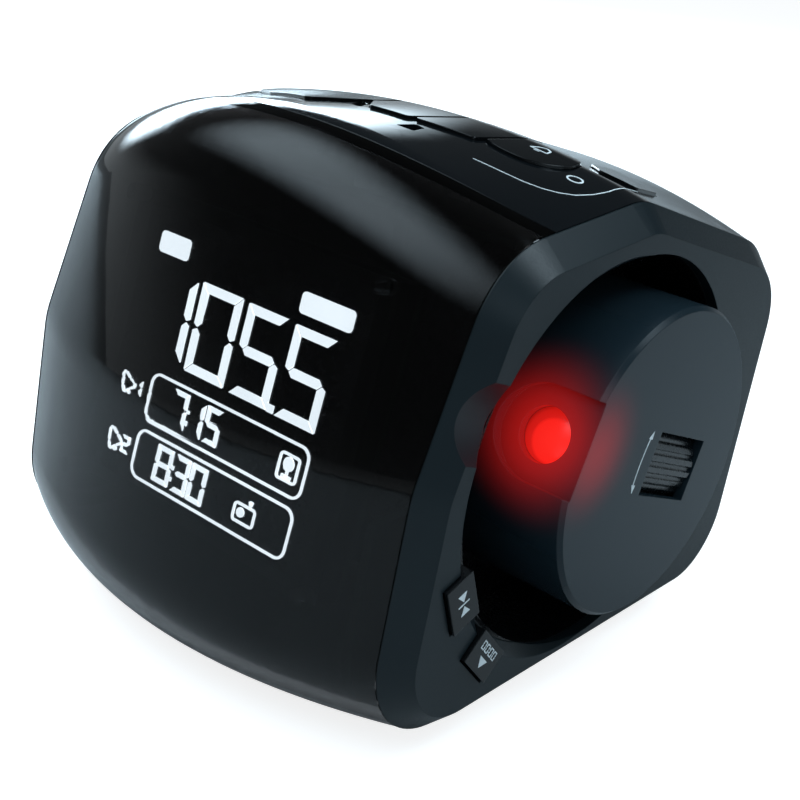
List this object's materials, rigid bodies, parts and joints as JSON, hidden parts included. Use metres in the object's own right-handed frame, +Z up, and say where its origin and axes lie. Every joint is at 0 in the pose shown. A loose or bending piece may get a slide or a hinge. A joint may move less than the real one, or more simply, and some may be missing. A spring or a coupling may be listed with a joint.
{
  "type": "projection alarm clock",
  "caption": "Bedside alarm clock with a leaning bowed display, roof keys and a side drum that turns to project the time on a wall or ceiling.",
  "frame": {"origin": "on the table under the middle of the clock's length and depth", "axes": "+Z up, display faces -Y, projector drum on the +X side"},
  "size_m": [0.1204, 0.1366, 0.1083],
  "materials": {
    "piano_black": "polished black, piano finish",
    "satin_panel": "satin dark grey",
    "drum_grey": "satin dark grey",
    "well_black": "fine matt black",
    "key_black": "semi-gloss black",
    "ring_grey": "satin grey with fine ribs",
    "inner_black": "plain moulded black",
    "lens_red": "clear lens lit red from behind",
    "optic_clear": "clear optical",
    "slide_dark": "dark liquid crystal slide",
    "led_red": "red tinted",
    "lcd_dark": "dark display glass",
    "light_guide": "white light guide",
    "board_green": "green circuit board",
    "switch_black": "moulded black",
    "screw_steel": "zinc plated",
    "spring_steel": "bright spring steel",
    "cell_wrap": "plain wrapped steel can",
    "cone_paper": "dark paper cone",
    "magnet_iron": "plated iron",
    "bush_white": "natural acetal",
    "foot_rubber": "matt black"
  },
  "bodies": {
    "housing": {"backlight_plate": "light_guide", "backup_cell_1": "cell_wrap", "backup_cell_2": "cell_wrap", "battery_door": "satin_panel", "board_screws": "screw_steel", "contact_left": "spring_steel", "contact_right": "spring_steel", "dc_socket": "switch_black", "display_board": "board_green", "drum_bush": "bush_white", "foot_1": "foot_rubber", "foot_2": "foot_rubber", "foot_3": "foot_rubber", "foot_4": "foot_rubber", "friction_washer": "spring_steel", "front_cover": "piano_black", "key_board": "board_green", "key_switches": "switch_black", "lcd_frame": "inner_black", "lcd_glass": "lcd_dark", "main_board": "board_green", "rear_housing": "satin_panel", "side_board": "board_green", "side_panel_left": "satin_panel", "side_panel_right": "satin_panel", "side_switches": "switch_black", "speaker_cone": "cone_paper", "speaker_frame": "inner_black", "speaker_magnet": "magnet_iron", "top_panel": "piano_black", "well_cup": "well_black"},
    "drum": {"drum_shell": "drum_grey", "drum_back": "well_black", "drum_clip": "spring_steel", "projector_lens": "lens_red", "lens_barrel": "inner_black", "lamp_tube": "inner_black", "condenser_lens": "optic_clear", "projector_led": "led_red"},
    "ring": {"rotate_ring": "ring_grey", "image_slide": "slide_dark"},
    "key_1_cap": {"key_1": "key_black"},
    "key_2_cap": {"key_2": "key_black"},
    "key_3_cap": {"key_3": "key_black"},
    "key_4_cap": {"key_4": "key_black"},
    "key_5_cap": {"key_5": "key_black"},
    "button_invert_cap": {"button_invert": "key_black"},
    "button_time_cap": {"button_time": "key_black"}
  },
  "joints": [
    {"name": "drum_turn", "type": "hinge", "parent": "housing", "child": "drum", "pos_m": [0.0462, 0.0082, 0.05], "axis": [-1, 0, 0], "range_deg": [-20, 110]},
    {"name": "ring_turn", "type": "hinge", "parent": "drum", "child": "ring", "pos_m": [0.0507, 0.0082, 0.05], "axis": [0, -0.9397, 0.342], "range_deg": [-170, 170]},
    {"name": "key_1_press", "type": "slide", "parent": "housing", "child": "key_1_cap", "axis": [0, 0, -1], "range_m": [0, 0.0008], "stiffness_N_per_m": 300, "springref_m": -0.002},
    {"name": "key_2_press", "type": "slide", "parent": "housing", "child": "key_2_cap", "axis": [0, 0, -1], "range_m": [0, 0.0008], "stiffness_N_per_m": 300, "springref_m": -0.002},
    {"name": "key_3_press", "type": "slide", "parent": "housing", "child": "key_3_cap", "axis": [0, 0, -1], "range_m": [0, 0.0008], "stiffness_N_per_m": 300, "springref_m": -0.002},
    {"name": "key_4_press", "type": "slide", "parent": "housing", "child": "key_4_cap", "axis": [0, 0, -1], "range_m": [0, 0.0008], "stiffness_N_per_m": 300, "springref_m": -0.002},
    {"name": "key_5_press", "type": "slide", "parent": "housing", "child": "key_5_cap", "axis": [0, 0, -1], "range_m": [0, 0.0008], "stiffness_N_per_m": 300, "springref_m": -0.002},
    {"name": "button_invert_press", "type": "slide", "parent": "housing", "child": "button_invert_cap", "axis": [-1, 0, 0], "range_m": [0, 0.0008], "stiffness_N_per_m": 300, "springref_m": -0.002},
    {"name": "button_time_press", "type": "slide", "parent": "housing", "child": "button_time_cap", "axis": [-1, 0, 0], "range_m": [0, 0.0008], "stiffness_N_per_m": 300, "springref_m": -0.002}
  ]
}
